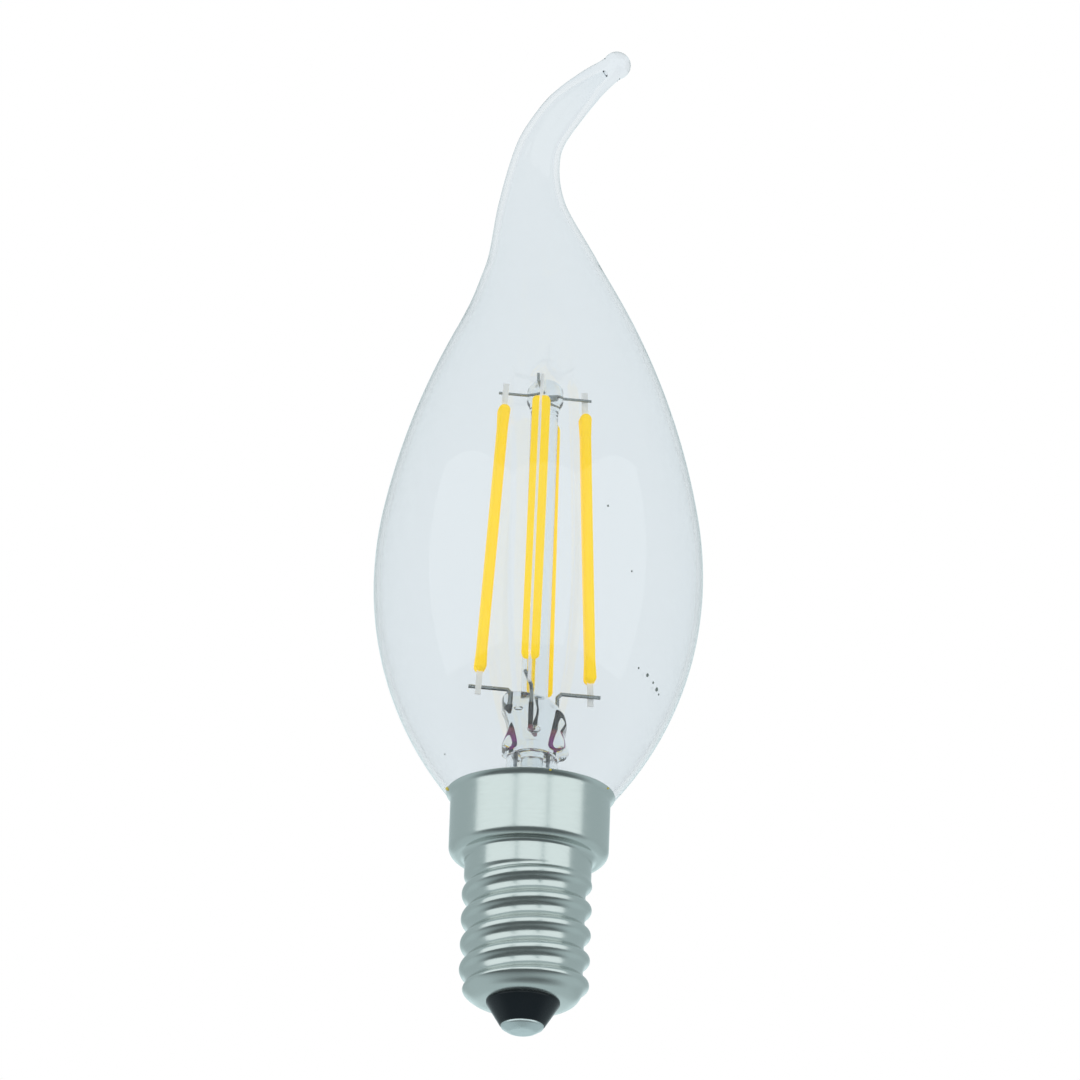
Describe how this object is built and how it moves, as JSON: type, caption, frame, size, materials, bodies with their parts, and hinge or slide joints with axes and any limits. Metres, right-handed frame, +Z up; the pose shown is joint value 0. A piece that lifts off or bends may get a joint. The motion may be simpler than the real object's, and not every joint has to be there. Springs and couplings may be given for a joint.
{
  "type": "candle bulb",
  "caption": "Clear candle-shaped filament lamp with a bent drawn-out tip, light strips on a glass stem, and a small nickel screw cap with a collar.",
  "frame": {"origin": "centre of the flat on the bottom contact", "axes": "+Z up the bulb's axis from contact to tip, +X the side that the tip bends to, -Y the front in the picture"},
  "size_m": [0.035, 0.035, 0.1114],
  "materials": {
    "clear_glass": "clear, thin blown soda glass",
    "stem_glass": "clear, fire-formed",
    "nickel_shell": "satin nickel plate on pressed sheet",
    "black_insulator": "moulded, smooth",
    "tinned_contact": "dull solder",
    "cement": "hard, grainy cement",
    "nickel_wire": "drawn nickel",
    "seal_wire": "borated copper-clad, red under glass",
    "copper_wire": "drawn copper",
    "filament_strip": "sintered white strip",
    "phosphor": "cast silicone with yellow phosphor",
    "board": "glass-filled laminate",
    "black_component": "moulded epoxy with tinned legs",
    "capacitor_can": "sleeved can",
    "resistor_coat": "grey-green lacquer"
  },
  "bodies": {
    "root": {"bridge_rectifier": "black_component", "cap_cement": "cement", "cap_insulator": "black_insulator", "cap_shell": "nickel_shell", "centre_contact": "tinned_contact", "contact_lead": "copper_wire", "driver_board": "board", "driver_chip": "black_component", "fuse_resistor": "resistor_coat", "glass_envelope": "clear_glass", "glass_stem": "stem_glass", "inner_lead_back": "nickel_wire", "inner_lead_front": "nickel_wire", "inner_lead_left": "nickel_wire", "inner_lead_right": "nickel_wire", "outer_lead_left": "copper_wire", "outer_lead_right": "copper_wire", "phosphor_back": "phosphor", "phosphor_front": "phosphor", "phosphor_left": "phosphor", "phosphor_right": "phosphor", "pin_back_bottom": "nickel_wire", "pin_back_top": "nickel_wire", "pin_front_bottom": "nickel_wire", "pin_front_top": "nickel_wire", "pin_left_bottom": "nickel_wire", "pin_left_top": "nickel_wire", "pin_right_bottom": "nickel_wire", "pin_right_top": "nickel_wire", "seal_link": "seal_wire", "seal_wire_left": "seal_wire", "seal_wire_right": "seal_wire", "sense_resistor": "black_component", "shell_lead": "copper_wire", "smoothing_capacitor": "capacitor_can", "strip_back": "filament_strip", "strip_front": "filament_strip", "strip_left": "filament_strip", "strip_right": "filament_strip", "support_rod": "stem_glass", "top_wire_left_front": "nickel_wire", "top_wire_right_back": "nickel_wire"}
  },
  "joints": []
}
